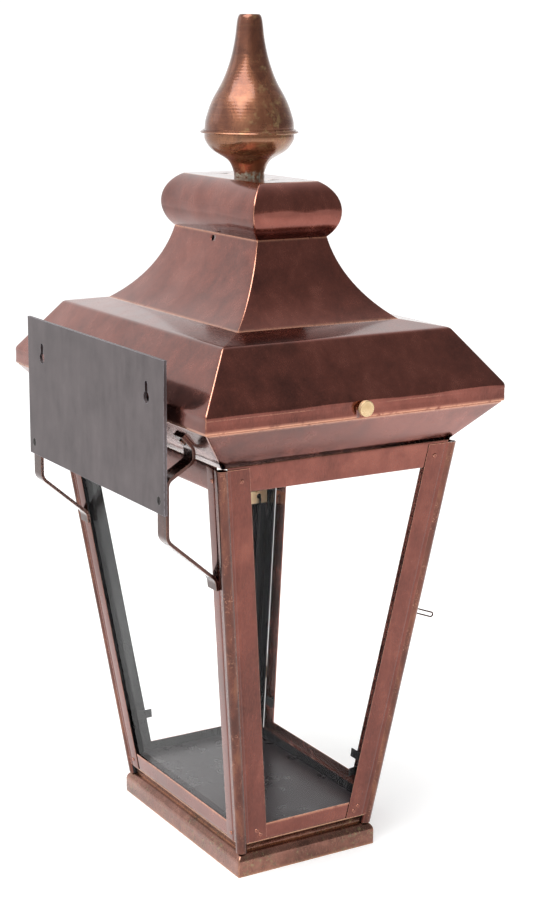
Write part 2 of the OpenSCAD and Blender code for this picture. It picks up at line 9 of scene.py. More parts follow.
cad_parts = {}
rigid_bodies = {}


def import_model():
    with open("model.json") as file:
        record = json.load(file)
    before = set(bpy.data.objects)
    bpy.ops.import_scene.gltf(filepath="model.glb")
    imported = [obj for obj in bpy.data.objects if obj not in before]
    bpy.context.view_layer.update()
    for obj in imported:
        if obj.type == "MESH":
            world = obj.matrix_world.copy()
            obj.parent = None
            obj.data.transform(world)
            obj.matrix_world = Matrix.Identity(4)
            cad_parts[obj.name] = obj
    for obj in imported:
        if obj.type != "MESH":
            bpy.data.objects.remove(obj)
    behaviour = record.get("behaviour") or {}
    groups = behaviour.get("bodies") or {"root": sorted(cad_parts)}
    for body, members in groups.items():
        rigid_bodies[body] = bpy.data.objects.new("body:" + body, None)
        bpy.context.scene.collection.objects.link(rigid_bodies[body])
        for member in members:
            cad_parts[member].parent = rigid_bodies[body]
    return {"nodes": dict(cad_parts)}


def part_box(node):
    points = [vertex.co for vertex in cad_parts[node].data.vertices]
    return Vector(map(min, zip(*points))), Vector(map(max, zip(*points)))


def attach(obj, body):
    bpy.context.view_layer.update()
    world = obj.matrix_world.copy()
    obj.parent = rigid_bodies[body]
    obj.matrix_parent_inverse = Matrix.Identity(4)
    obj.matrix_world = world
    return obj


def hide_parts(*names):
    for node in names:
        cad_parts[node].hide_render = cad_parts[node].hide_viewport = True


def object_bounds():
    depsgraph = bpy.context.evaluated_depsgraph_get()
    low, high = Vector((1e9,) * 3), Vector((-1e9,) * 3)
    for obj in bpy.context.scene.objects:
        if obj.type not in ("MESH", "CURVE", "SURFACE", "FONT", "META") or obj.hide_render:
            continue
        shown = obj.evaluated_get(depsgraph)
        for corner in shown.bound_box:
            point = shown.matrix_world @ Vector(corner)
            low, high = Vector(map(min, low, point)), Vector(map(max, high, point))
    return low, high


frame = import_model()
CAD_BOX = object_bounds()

MM = 0.001
SIDES = ("front", "right", "back", "left")
HOOD_FRONT, HOOD_BACK, HOOD_LEFT = (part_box(f"hood_{s}") for s in ("front", "back", "left"))
AXIS = Vector((0.0, (HOOD_FRONT[0].y + HOOD_BACK[1].y) / 2, 0.0))   # the upright centre line
SPARE = -HOOD_LEFT[0].x - (HOOD_BACK[1].y - AXIS.y)     # half width less half depth
TOP_RAILS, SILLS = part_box("top_rails"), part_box("bottom_rails")
LEAN = (TOP_RAILS[1].y - SILLS[1].y) / (TOP_RAILS[1].z - SILLS[1].z)    # out per up
SKIRT_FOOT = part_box("skirt_back")[0].z
BOWL_FOOT, BOWL_TOP = (v.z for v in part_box("finial_bowl"))
FLOOR_Z = CAD_BOX[0].z

SHEET = 1.2 * MM                # the copper's thickness
BEAD_INSET, BEAD_R, BEAD_WALL = 4 * MM, 5.5 * MM, 1.1 * MM      # the posts' corner tubes
BEAD_SIDES = 28
GROOVE_AT, GROOVE_WIDE, GROOVE_DEEP = 11.4, 0.95, 0.55      # in mm, beside each bead
POST_DROP = 0.3 * MM            # from the skirt's foot down to the posts' tops
RAIL_RISE = 2.2 * MM            # from the skirt's foot up to the top rails' tops
THUMB_R = 3 * MM                # the thumbscrews' shanks
SKIRT_CLEAR, HOOD_CLEAR = 0.3 * MM, 0.4 * MM    # round a shank, in each sheet
SLOT_DROP = 40 * MM             # takes the hood's thumbscrew slots out through its hem
VENT_R, VENT_DROP = 2.7 * MM, 5 * MM    # the hole in the roof, below the roof's top
SOFT_EDGE = 0.3 * MM            # the bevel on CAD nodes that stay


def half_deep(z):
    """Half depth of the cage at a height, to its outer face."""
    return (SILLS[1].y - AXIS.y + SHEET * math.hypot(1, LEAN)
            + LEAN * (z - SILLS[1].z))


def half_wide(z):
    """Half width of the cage at a height, to its outer face."""
    return half_deep(z) + SPARE


# ---------------------------------------------------------------- materials

class Tree:
    """A material's node tree, with short calls for the nodes used here."""

    def __init__(self, name):
        self.mat = bpy.data.materials.new(name)
        self.mat.use_nodes = True
        self.nodes = self.mat.node_tree.nodes
        self.links = self.mat.node_tree.links
        self.nodes.clear()
        self.out = self.nodes.new("ShaderNodeOutputMaterial")
        self.place = self.nodes.new("ShaderNodeTexCoord").outputs["Object"]

    def put(self, value, socket):
        """Links a socket to another, or sets its value."""
        if isinstance(value, bpy.types.NodeSocket):
            self.links.new(value, socket)
        elif isinstance(value, (tuple, list)) and len(value) == 3 and len(
                socket.default_value) == 4:
            socket.default_value = (*value, 1)
        else:
            socket.default_value = value

    def math(self, op, a, b=0.0, clamp=False):
        n = self.nodes.new("ShaderNodeMath")
        n.operation, n.use_clamp = op, clamp
        self.put(a, n.inputs[0])
        self.put(b, n.inputs[1])
        return n.outputs[0]

    def stretch(self, scale, turn=(0, 0, 0)):
        """The place on the object, turned by degrees and scaled along each axis."""
        n = self.nodes.new("ShaderNodeMapping")
        n.inputs["Scale"].default_value = scale
        n.inputs["Rotation"].default_value = [math.radians(a) for a in turn]
        self.links.new(self.place, n.inputs["Vector"])
        return n.outputs[0]

    def noise(self, scale, detail=3, rough=0.5, vector=None, warp=0.0):
        n = self.nodes.new("ShaderNodeTexNoise")
        n.inputs["Scale"].default_value = scale
        n.inputs["Detail"].default_value = detail
        n.inputs["Roughness"].default_value = rough
        n.inputs["Distortion"].default_value = warp
        self.links.new(vector or self.place, n.inputs["Vector"])
        return n.outputs["Fac"]

    def voronoi(self, scale, vector=None):
        n = self.nodes.new("ShaderNodeTexVoronoi")
        n.inputs["Scale"].default_value = scale
        self.links.new(vector or self.place, n.inputs["Vector"])
        return n.outputs["Distance"]

    def span(self, value, low, high, to_low=0.0, to_high=1.0):
        """A smooth step as the value goes from low to high."""
        n = self.nodes.new("ShaderNodeMapRange")
        n.interpolation_type = "SMOOTHSTEP"
        self.put(value, n.inputs["Value"])
        for key, v in (("From Min", low), ("From Max", high), ("To Min", to_low),
                       ("To Max", to_high)):
            n.inputs[key].default_value = v
        return n.outputs["Result"]

    def mix(self, factor, a, b):
        n = self.nodes.new("ShaderNodeMix")
        n.data_type = "RGBA"
        self.put(factor, n.inputs["Factor"])
        self.put(a, n.inputs[6])
        self.put(b, n.inputs[7])
        return n.outputs[2]

    def ramp(self, value, *stops):
        n = self.nodes.new("ShaderNodeValToRGB")
        self.put(value, n.inputs["Fac"])
        e = n.color_ramp.elements
        for i, (at, colour) in enumerate(stops):
            s = e[i] if i < 2 else e.new(at)
            s.position, s.color = at, (*colour, 1)
        return n.outputs["Color"]

    def split(self, vector):
        n = self.nodes.new("ShaderNodeSeparateXYZ")
        self.links.new(vector, n.inputs[0])
        return n.outputs

    def edges(self, radius):
        """1 along sharp edges, fading over the radius."""
        g = self.nodes.new("ShaderNodeNewGeometry")
        b = self.nodes.new("ShaderNodeBevel")
        b.samples = 4
        b.inputs["Radius"].default_value = radius
        d = self.nodes.new("ShaderNodeVectorMath")
        d.operation = "DOT_PRODUCT"
        self.links.new(g.outputs["Normal"], d.inputs[0])
        self.links.new(b.outputs[0], d.inputs[1])
        return self.span(self.math("SUBTRACT", 1.0, d.outputs["Value"]), 0.03, 0.2)

    def corner(self, reach):
        """1 on the rounded beads down the cage's four corners."""
        p = self.split(self.place)
        deep = self.math("ADD", self.math("MULTIPLY", p[2], LEAN), half_deep(0.0))
        side = self.math("SUBTRACT", self.math("ADD", deep, SPARE),
                         self.math("ABSOLUTE", p[0]))
        face = self.math("SUBTRACT", deep,
                         self.math("ABSOLUTE", self.math("SUBTRACT", p[1], AXIS.y)))
        return self.span(self.math("MAXIMUM", side, face), reach, reach - 0.6 * MM)

    def attribute(self, name):
        """A mesh attribute, 0 where the mesh has none of that name."""
        n = self.nodes.new("ShaderNodeAttribute")
        n.attribute_name = name
        return n.outputs["Fac"]

    def bump(self, *layers):
        """Layers are (height value, depth in metres); each is laid over the last."""
        last = None
        for height, depth in layers:
            n = self.nodes.new("ShaderNodeBump")
            n.inputs["Strength"].default_value = 1.0
            n.inputs["Distance"].default_value = depth
            self.links.new(height, n.inputs["Height"])
            if last:
                self.links.new(last, n.inputs["Normal"])
            last = n.outputs[0]
        return last

    def shader(self, **sockets):
        n = self.nodes.new("ShaderNodeBsdfPrincipled")
        for key, value in sockets.items():
            self.put(value, n.inputs[key.replace("_", " ")])
        self.links.new(n.outputs[0], self.out.inputs["Surface"])
        return self.mat


def scratches(t, scale, turn, wide=0.012):
    """A few short straight scratches along one direction."""
    near = t.voronoi(scale, t.stretch((1, 1, 0.045), turn))
    return t.math("MULTIPLY", t.span(near, wide, 0.5 * wide), t.span(t.noise(17, 2), 0.56, 0.6))


def copper(name, dark, mid, light, wear_and_highlight, shine, blotch=22, spots=0.0, streaks=0.0,
           beads=False, crust=0.0):
    """Lacquered antique copper, darker in blotches, and lighter along its edges, creases and
    mitre seams with rubbed wear and a painted highlight. The mesh's attributes say where the
    creases and the mitres are. Beads darkens the posts' corner tubes, and crust adds dull
    scale."""
    t = Tree(name)
    broad = t.noise(blotch * 0.35, 4, 0.55, warp=0.6)
    cloud = t.noise(blotch * 2.1, 5, 0.6, warp=0.3)
    grain = t.noise(900, 3, 0.6, t.stretch((1, 1, 0.22)))
    tone = t.math("ADD", t.math("MULTIPLY", broad, 0.55), t.math("MULTIPLY", cloud, 0.45))
    if streaks:
        run = t.noise(90, 4, 0.6, t.stretch((1, 1, 0.05)), warp=0.2)
        tone = t.math("ADD", t.math("MULTIPLY", tone, 1 - streaks),
                      t.math("MULTIPLY", run, streaks))
    body = t.ramp(tone, (0.34, dark), (0.5, mid), (0.68, light))
    body = t.mix(t.span(grain, 0.35, 0.75, 0.0, 0.3), body, light)
    patchy = t.span(t.noise(150, 4, 0.65), 0.25, 0.5)
    # Edges, creases and mitre seams are lightened towards the bright colour: rubbed wear with a
    # painted highlight.
    rub_and_highlight = t.math("MAXIMUM", t.edges(0.9 * MM), t.math("MULTIPLY", t.attribute("rub_and_highlight"), 0.6))
    rub_and_highlight = t.math("MAXIMUM", rub_and_highlight, t.math("MULTIPLY", t.span(t.attribute("seam"), 0.85, 1.0),
                                        0.2))
    body = t.mix(t.math("MULTIPLY", rub_and_highlight, patchy, clamp=True), body, wear_and_highlight)
    nick = scratches(t, 46, (35, 20, 15))
    body = t.mix(t.math("MULTIPLY", nick, 0.6), body, wear_and_highlight)
    rough = t.span(t.math("ADD", t.math("MULTIPLY", cloud, 0.6),
                          t.math("MULTIPLY", grain, 0.4)), 0.3, 0.7, shine - 0.06,
                   shine + 0.1)
    if beads:
        on = t.corner(8.2 * MM)
        old = t.ramp(t.noise(75, 5, 0.65, t.stretch((1, 1, 0.3))),
                     (0.36, (0.05, 0.018, 0.012)), (0.52, (0.11, 0.038, 0.024)),
                     (0.66, (0.21, 0.085, 0.045)))
        body = t.mix(t.math("MULTIPLY", on, 0.7), body, old)
        spots = t.math("MULTIPLY", on, 0.5)
    if spots:
        fleck = t.math("MULTIPLY", t.span(t.voronoi(720), 0.4, 0.16),
                       t.span(t.noise(70, 4, 0.7), 0.5, 0.62))
        body = t.mix(t.math("MULTIPLY", fleck, spots), body, wear_and_highlight)
    if crust:
        scab = t.math("MULTIPLY", t.span(t.noise(260, 5, 0.75), 0.5, 0.6),
                      t.span(t.noise(28, 4, 0.6), 0.46, 0.6))
        body = t.mix(t.math("MULTIPLY", scab, crust), body,
                     t.ramp(t.noise(190, 3), (0.4, (0.12, 0.11, 0.07)),
                            (0.6, (0.34, 0.27, 0.14))))
        rough = t.math("ADD", rough, t.math("MULTIPLY", scab, 0.25 * crust))
    bump = t.bump((t.noise(9, 2, 0.4), 0.0011), (cloud, 0.00013), (grain, 0.00002),
                  (nick, 0.00004))
    return t.shader(Base_Color=body, Metallic=1.0, Roughness=rough, Normal=bump,
                    Coat_Weight=0.8, Coat_Roughness=0.1, Coat_IOR=1.4)


def black_paint(name):
    """Satin black paint inside the lantern, with brush lines and a few chips."""
    t = Tree(name)
    lines = t.noise(110, 3, 0.6, t.stretch((1, 1, 0.012)))
    body = t.ramp(t.noise(40, 4), (0.3, (0.005, 0.005, 0.006)), (0.7, (0.014, 0.013, 0.016)))
    chip = t.math("MULTIPLY", t.edges(0.8 * MM), t.span(t.noise(160, 4), 0.5, 0.6))
    body = t.mix(chip, body, (0.14, 0.06, 0.045))
    rough = t.span(lines, 0.3, 0.7, 0.16, 0.3)
    return t.shader(Base_Color=body, Roughness=rough, Specular_IOR_Level=0.2,
                    Normal=t.bump((lines, 0.0009), (t.noise(500, 3), 0.00001)))


def spun_bronze(name):
    """The finial: spun copper, reddish brown, with turning lines and soldered joints."""
    t = Tree(name)
    z = t.split(t.place)[2]
    cloud = t.noise(34, 5, 0.62, warp=0.8)
    rings = t.noise(1.0, 3, 0.7, t.stretch((3, 3, 620)))
    body = t.ramp(cloud, (0.32, (0.11, 0.034, 0.017)), (0.46, (0.19, 0.062, 0.03)),
                  (0.58, (0.27, 0.098, 0.046)), (0.72, (0.4, 0.17, 0.085)))
    body = t.mix(t.span(rings, 0.5, 0.8, 0, 0.4), body, (0.4, 0.18, 0.09))
    # Painted shade darkens the finial's top, and painted reflected light brightens the bowl
    # below it.
    bowl = t.span(z, BOWL_TOP + 0.5 * MM, BOWL_TOP - 1.5 * MM)
    body = t.mix(bowl, t.mix(0.25, body, (0.06, 0.02, 0.012)),
                 t.mix(0.2, body, (0.4, 0.22, 0.1)))
    gold = t.math("MULTIPLY", t.span(t.noise(110, 5, 0.75), 0.5, 0.64),
                  t.span(t.noise(20, 2), 0.45, 0.6))
    body = t.mix(t.math("MULTIPLY", gold, 0.6), body, (0.4, 0.26, 0.12))
    pits = t.math("MULTIPLY", t.span(t.voronoi(520), 0.26, 0.1),
                  t.span(t.noise(60, 3), 0.5, 0.66))
    body = t.mix(pits, body, (0.06, 0.03, 0.02))
    joint = t.span(t.math("ADD", z, t.math("MULTIPLY", t.noise(160, 4), 0.012)),
                   BOWL_FOOT + 14.5 * MM, BOWL_FOOT + 7.5 * MM)
    crust = t.math("MULTIPLY", joint, t.span(t.noise(210, 5, 0.7), 0.44, 0.56))
    body = t.mix(crust, body, t.ramp(t.noise(420, 4), (0.35, (0.14, 0.15, 0.1)),
                                     (0.65, (0.5, 0.5, 0.4))))
    rough = t.math("ADD", t.span(cloud, 0.3, 0.7, 0.2, 0.32), t.math("MULTIPLY", crust, 0.35))
    bump = t.bump((cloud, 0.00025), (rings, 0.00008), (t.noise(300, 4), 0.00003))
    metal = t.math("MULTIPLY", t.math("SUBTRACT", 1.0, crust), t.span(bowl, 0, 1, 0.75, 0.65))
    return t.shader(Base_Color=body, Metallic=metal, Roughness=rough,
                    Normal=bump, Coat_Weight=0.5, Coat_Roughness=0.1)


def dull_metal(name, dark, light, wear_and_highlight, shine, streak=0.06, metal=0.85, marked=True,
               depth=0.00007):
    """Blackened or plated steel and other plain metal, streaked, and lighter at its edges with
    rubbed wear and a painted highlight.
    Streak is how short the streaks are, 1 for none; depth is their relief in metres."""
    t = Tree(name)
    streaks = t.noise(60, 4, 0.6, t.stretch((1, 1, streak)), warp=0.2)
    cloud = t.noise(26, 5, 0.6)
    tone = t.math("ADD", t.math("MULTIPLY", streaks, 0.5), t.math("MULTIPLY", cloud, 0.5))
    body = t.ramp(tone, (0.34, dark), (0.66, light))
    # Edges lightened towards the bright colour: rubbed wear with a painted highlight.
    rub_and_highlight = t.math("MULTIPLY", t.edges(0.9 * MM), t.span(t.noise(300, 3), 0.3, 0.55))
    body = t.mix(t.math("MULTIPLY", rub_and_highlight, 0.7), body, wear_and_highlight)
    if marked:
        nick = scratches(t, 90, (10, 35, 60), 0.02)
        body = t.mix(t.math("MULTIPLY", nick, 0.5), body, wear_and_highlight)
    rough = t.span(tone, 0.3, 0.7, shine - 0.08, shine + 0.1)
    bump = t.bump((streaks, depth), (t.noise(700, 3), 0.00002))
    return t.shader(Base_Color=body, Metallic=metal, Roughness=rough, Normal=bump)


def pane(name):
    """Clear window glass, as a thin coat of reflection over what is behind it."""
    t = Tree(name)
    smear = t.noise(14, 3, 0.5, t.stretch((1, 1, 0.4)))
    clear = t.nodes.new("ShaderNodeBsdfTransparent")
    clear.inputs["Color"].default_value = (0.997, 0.998, 0.997, 1)
    gloss = t.nodes.new("ShaderNodeBsdfGlossy")
    t.put(t.span(smear, 0.3, 0.8, 0.01, 0.04), gloss.inputs["Roughness"])
    facing = t.nodes.new("ShaderNodeLayerWeight").outputs["Facing"]
    mix = t.nodes.new("ShaderNodeMixShader")
    t.put(t.math("ADD", t.math("MULTIPLY", t.math("POWER", facing, 5.0), 0.5), 0.007),
          mix.inputs[0])
    t.links.new(clear.outputs[0], mix.inputs[1])
    t.links.new(gloss.outputs[0], mix.inputs[2])
    t.links.new(mix.outputs[0], t.out.inputs["Surface"])
    return t.mat


def paper(name):
    """The pale floor: a sweep lit from below, less so behind the lantern."""
    t = Tree(name)
    tint = t.ramp(t.noise(3, 3), (0.3, (0.8, 0.8, 0.8)), (0.7, (0.82, 0.82, 0.815)))
    p = t.split(t.place)
    behind = t.math("ADD", t.math("MULTIPLY", p[0], 0.51), t.math("MULTIPLY", p[1], 0.86))
    near = t.math("SQRT", t.math("ADD", t.math("POWER", p[0], 2.0),
                                 t.math("POWER", p[1], 2.0)))
    dim = t.math("MULTIPLY", t.span(behind, 0.25, 0.6), t.span(near, 3.6, 2.2))
    return t.shader(Base_Color=tint, Roughness=0.75, Specular_IOR_Level=0.1,
                    Emission_Color=(1, 1, 1), Emission_Strength=t.span(dim, 0, 1, 0.42, 0))


# Bright copper for scratches and flecks, and for rubbed wear with a painted highlight along
# edges, creases and seams.
BRIGHT_WEAR_AND_HIGHLIGHT = (0.72, 0.36, 0.23)
COPPER = copper("antique_copper", (0.10, 0.025, 0.017), (0.20, 0.053, 0.036),
                (0.31, 0.098, 0.07), BRIGHT_WEAR_AND_HIGHLIGHT, shine=0.2)
COPPER_POST = copper("copper_post", (0.07, 0.017, 0.011), (0.135, 0.034, 0.023),
                     (0.24, 0.072, 0.047), BRIGHT_WEAR_AND_HIGHLIGHT, shine=0.22, streaks=0.3, beads=True)
COPPER_RAIL = copper("copper_rail", (0.09, 0.023, 0.015), (0.17, 0.046, 0.032),
                     (0.28, 0.088, 0.06), BRIGHT_WEAR_AND_HIGHLIGHT, shine=0.22)
COPPER_STRAP = copper("copper_strap", (0.03, 0.014, 0.011), (0.065, 0.026, 0.02),
                      (0.15, 0.06, 0.045), (0.45, 0.22, 0.14), shine=0.26, spots=0.3)
COPPER_BASE = copper("copper_base", (0.075, 0.03, 0.02), (0.19, 0.075, 0.052),
                     (0.34, 0.155, 0.11), (0.55, 0.3, 0.18), shine=0.24, blotch=34,
                     spots=0.35, crust=0.65)
PAINT = black_paint("black_inside")
BRONZE = spun_bronze("spun_bronze")
# The plate's pale bluish edge colour is a painted highlight along its edges, with some rubbed
# wear.
PLATE = dull_metal("dark_plate", (0.085, 0.07, 0.073), (0.175, 0.15, 0.153),
                   (0.5, 0.5, 0.56), 0.4, streak=0.3)
DECK = dull_metal("dark_floor", (0.018, 0.012, 0.015), (0.038, 0.026, 0.032),
                  (0.5, 0.45, 0.47), 0.3, streak=1.0, metal=0.3, marked=False, depth=0.00001)
FASTENER = dull_metal("fasteners", (0.012, 0.01, 0.01), (0.035, 0.03, 0.03),
                      (0.3, 0.27, 0.25), 0.36)
BRASS = dull_metal("worn_brass", (0.62, 0.43, 0.22), (0.92, 0.70, 0.45), (0.98, 0.86, 0.66),
                   0.3, streak=1.0, metal=0.6)
BLACK = dull_metal("black_paint", (0.01, 0.01, 0.011), (0.035, 0.033, 0.034),
                   (0.2, 0.18, 0.17), 0.42)
LAMP = dull_metal("lamp_parts", (0.012, 0.012, 0.013), (0.03, 0.03, 0.03),
                  (0.15, 0.15, 0.15), 0.38, metal=0.2)
GLASS = pane("clear_glass")


# ---------------------------------------------------------------- CAD nodes that stay

CRISP = ("wall_plate", "glass_left", "glass_right", "glass_back", "door_glass", "floor_plate")
DARK_COPPER = ("strap_left", "strap_right", "strap_rivets", "door_pull")
SLOT_LOOKS = {"copper": COPPER, "finial_bronze": BRONZE, "brass": BRASS,
              "fastener_steel": FASTENER, "plate_steel": PLATE, "floor_steel": DECK,
              "black_metal": BLACK, "lamp_black": LAMP, "glass": GLASS}


def dress(node, material, bevel):
    """Shows a CAD node with softened edges and a finish."""
    o = frame["nodes"][node]
    o.data.materials.clear()
    o.data.materials.append(material)
    if bevel:
        o.modifiers.new("weld", "WELD").merge_threshold = 5e-6
        b = o.modifiers.new("soft_edges", "BEVEL")
        b.width, b.segments, b.limit_method = bevel, 2, "ANGLE"
        b.angle_limit = math.radians(35)
        o.modifiers.new("normals", "WEIGHTED_NORMAL").weight = 80


# ---------------------------------------------------------------- mitred sheets

SHARP_BEND, SLIGHT_BEND, CREASE = 28, 12, 22     # degrees, along a sheet's outline
MITRE_TURNS = [math.radians(a) for a in (45, 34, 23, 12)]   # round a mitre, from its line


def turned(side):
    """From a side's own axes, X across and -Y out of it, to the row frame."""
    return Matrix.Translation(AXIS) @ Matrix.Rotation(math.radians(90 * side), 4, "Z")


def section(node, side, at):
    """A sheet's closed outline, as (distance out, height), where a plane across it cuts it."""
    bm = bmesh.new()
    bm.from_mesh(frame["nodes"][node].data)
    bm.transform(turned(side).inverted())
    bmesh.ops.remove_doubles(bm, verts=bm.verts, dist=2e-6)
    cut = bmesh.ops.bisect_plane(bm, geom=bm.verts[:] + bm.edges[:] + bm.faces[:],
                                 plane_co=(at, 0, 0), plane_no=(1, 0, 0),
                                 clear_outer=True)["geom_cut"]
    joined = {}
    for e in cut:
        if isinstance(e, bmesh.types.BMEdge):
            for a, b in (e.verts, reversed(e.verts)):
                joined.setdefault(a, []).append(b)
    here = max(joined, key=lambda v: (-v.co.z, -v.co.y))
    loop, last = [], None
    while True:
        loop.append((-here.co.y, here.co.z))
        ways = [v for v in joined[here] if v is not last]
        last, here = here, ways[0]
        if len(loop) > 2 and (-here.co.y, here.co.z) == loop[0]:
            break
    bm.free()
    area = sum(a[0] * b[1] - b[0] * a[1] for a, b in zip(loop, loop[1:] + loop[:1]))
    return [Vector(p) for p in (loop if area > 0 else loop[::-1])]


def turn_at(loop, i):
    """How far a closed outline turns at its point i, in degrees."""
    a, b = loop[i] - loop[i - 1], loop[(i + 1) % len(loop)] - loop[i]
    return abs(math.degrees(a.angle_signed(b, 0)))


def refine(loop, step):
    """The outline in shorter steps: smooth curves where it bends a little, straight runs
    elsewhere, and two extra points close to each end of a long run."""
    loop = [p for i, p in enumerate(loop) if (p - loop[i - 1]).length > 2e-5]
    n = len(loop)
    sharp = [turn_at(loop, i) > SHARP_BEND for i in range(n)]
    points = []
    for i in range(n):
        b, c = loop[i], loop[(i + 1) % n]
        a = loop[i - 1] if not sharp[i] else 2 * b - c
        d = loop[(i + 2) % n] if not sharp[(i + 1) % n] else 2 * c - b
        if (b - a).length > 3 * (c - b).length or (d - c).length > 3 * (c - b).length:
            a, d = 2 * b - c, 2 * c - b
        if (c - b).length > 4 * step:
            a, d = 2 * b - c, 2 * c - b
        long = (c - b).length
        parts = max(1, math.ceil(long / step))
        stops = {k / parts for k in range(parts)}
        if long > 3 * MM:
            stops |= {d * MM / long for d in (0.7, 1.4) if turn_at(loop, i) > SLIGHT_BEND}
            stops |= {1 - d * MM / long for d in (0.7, 1.4)
                      if turn_at(loop, (i + 1) % n) > SLIGHT_BEND}
        for s in sorted(stops):
            points.append(b + s / 2 * (c - a) + s * s * (a - 2.5 * b + 2 * c - d / 2)
                          + s ** 3 * (1.5 * (b - c) + (d - a) / 2))
    return points


def walk(loop, i, far):
    """The point this far along a closed outline from its point i."""
    step = 1 if far > 0 else -1
    here, left = loop[i], abs(far)
    while True:
        i = (i + step) % len(loop)
        gap = (loop[i] - here).length
        if gap >= left:
            return here.lerp(loop[i], left / gap)
        here, left = loop[i], left - gap


def creases(loop, reach):
    """How near each point of an outline is to one of its creases, 1 at a crease."""
    bends = []
    for i, p in enumerate(loop):
        a, b = p - walk(loop, i, -1.5 * MM), walk(loop, i, 1.5 * MM) - p
        if abs(math.degrees(a.angle_signed(b, 0))) > CREASE:
            bends.append(p)
    near = [min([(p - b).length for b in bends] or [1.0]) for p in loop]
    return [max(0.0, 1 - d / reach) for d in near]


def smooth(x):
    x = max(0.0, min(1.0, x))
    return x * x * (3 - 2 * x)


def waves(p, seed, size):
    """A slow, repeatable unevenness from -1 to 1."""
    q = Vector((p[0] + seed * 3.7, p[1] - seed * 1.3, p[2] + seed * 2.1))
    return noise.noise(q / size) + 0.4 * noise.noise(q / size * 2.3)


def face_outwards(bm):
    """Turns each closed shell's faces outwards, by the sign of its volume."""
    bmesh.ops.recalc_face_normals(bm, faces=bm.faces)
    left = set(bm.faces)
    while left:
        shell, ahead = [], [left.pop()]
        while ahead:
            f = ahead.pop()
            shell.append(f)
            for e in f.edges:
                for g in e.link_faces:
                    if g in left:
                        left.discard(g)
                        ahead.append(g)
        middle = shell[0].verts[0].co.copy()
        volume = sum(f.calc_area() * f.normal.dot(f.calc_center_median() - middle)
                     for f in shell)
        if volume < 0:
            bmesh.ops.reverse_faces(bm, faces=shell)


def add_object(name, bm, material, smooth_angle=38, inner=None):
    """A new object from a bmesh. Faces that look inwards take the inner material, if any."""
    face_outwards(bm)
    if inner:
        for f in bm.faces:
            p, n = f.calc_center_median(), f.normal
            f.material_index = int(p.x * n.x + (p.y - AXIS.y) * n.y < -0.25 * abs(p.x))
    for e in bm.edges:
        e.smooth = len(e.link_faces) == 2 and math.degrees(
            e.calc_face_angle(0)) < smooth_angle
    for f in bm.faces:
        f.smooth = True
    data = bpy.data.meshes.new(name)
    bm.to_mesh(data)
    bm.free()
    data.materials.append(material)
    if inner:
        data.materials.append(inner)
    o = bpy.data.objects.new(name, data)
    bpy.context.scene.collection.objects.link(o)
    return o


def mitred_sheet(node, side, material, ridge, step, uneven, size, at=12 * MM, hem=0.0,
                 closed_top=False):
    """A hand-formed sheet on a CAD sheet's outline at the distance at from its middle. It
    is rounded by ridge where it meets its neighbours, uneven in waves of that size, and
    hem is the depth of the hem along its lower edge."""
    loop = refine(section(node, side, at), step)
    if closed_top:
        top = max(p.y for p in loop)
        loop = [Vector((0.0, p.y)) if p.x < at * 1.2 and p.y > top - 3 * MM else p
                for p in loop]
    rub_and_highlight = creases(loop, 1.3 * MM)
    low, high = min(p.y for p in loop), max(p.y for p in loop)
    outer = max(p.x for p in loop)
    spare = SPARE if side % 2 == 0 else -SPARE
    count = max(6, math.ceil(2 * (outer + spare) / (2.2 * step)))
    bends = len(MITRE_TURNS)
    bm = bmesh.new()
    # These attributes mark where the copper is lightened: rubbed wear and a painted highlight
    # on the creases and beside the mitres.
    seam = bm.verts.layers.float.new("seam")
    wear_and_highlight = bm.verts.layers.float.new("rub_and_highlight")
    rows = []
    for k in range(-bends, count + 1 + bends):
        row = []
        for p, r in zip(loop, rub_and_highlight):
            half, out = p.x + spare, p.x
            bend = max(0.0, min(ridge, 0.45 * half, 0.45 * out))
            if k < 0 or k > count:
                way = -1 if k < 0 else 1
                a = MITRE_TURNS[bends + (k if k < 0 else count - k)]
                x, drop = way * (half - bend * (1 - math.sin(a))), bend * (1 - math.cos(a))
            else:
                x, drop = (2 * k / count - 1) * (half - bend), 0.0
            out -= drop
            calm = smooth((half - abs(x)) / (22 * MM)) * smooth(
                min(p.y - low, high - p.y) / (14 * MM))
            out += uneven * calm * waves((x, side, p.y), 1 + side + len(node), size)
            if hem and p.x > outer - 0.6 * MM and p.y < low + 12 * MM:
                out -= hem * (1 - math.exp(-((p.y - low - 2.4 * MM) / (1.5 * MM)) ** 4))
            v = bm.verts.new((x, -min(out, outer - 0.01 * MM), p.y))
            v[seam] = max(0.0, 1 - (half - abs(x)) / (7 * MM))
            v[wear_and_highlight] = r
            row.append(v)
        rows.append(row)
    n = len(loop)
    for a, b in zip(rows, rows[1:]):
        for i in range(n):
            j = (i + 1) % n
            quad = [a[i], a[j], b[j], b[i]]
            if len({tuple(round(c, 7) for c in v.co) for v in quad}) == 4:
                bm.faces.new(quad)
    for row in (rows[0], rows[-1]):
        bm.faces.new(row)
    bmesh.ops.remove_doubles(bm, verts=bm.verts, dist=1e-6)
    bm.transform(turned(side))
    o = add_object("sheet_" + node, bm, material, inner=PAINT)
    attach(o, "lantern" if node.startswith(("skirt", "base")) else "hood")
    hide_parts(node)


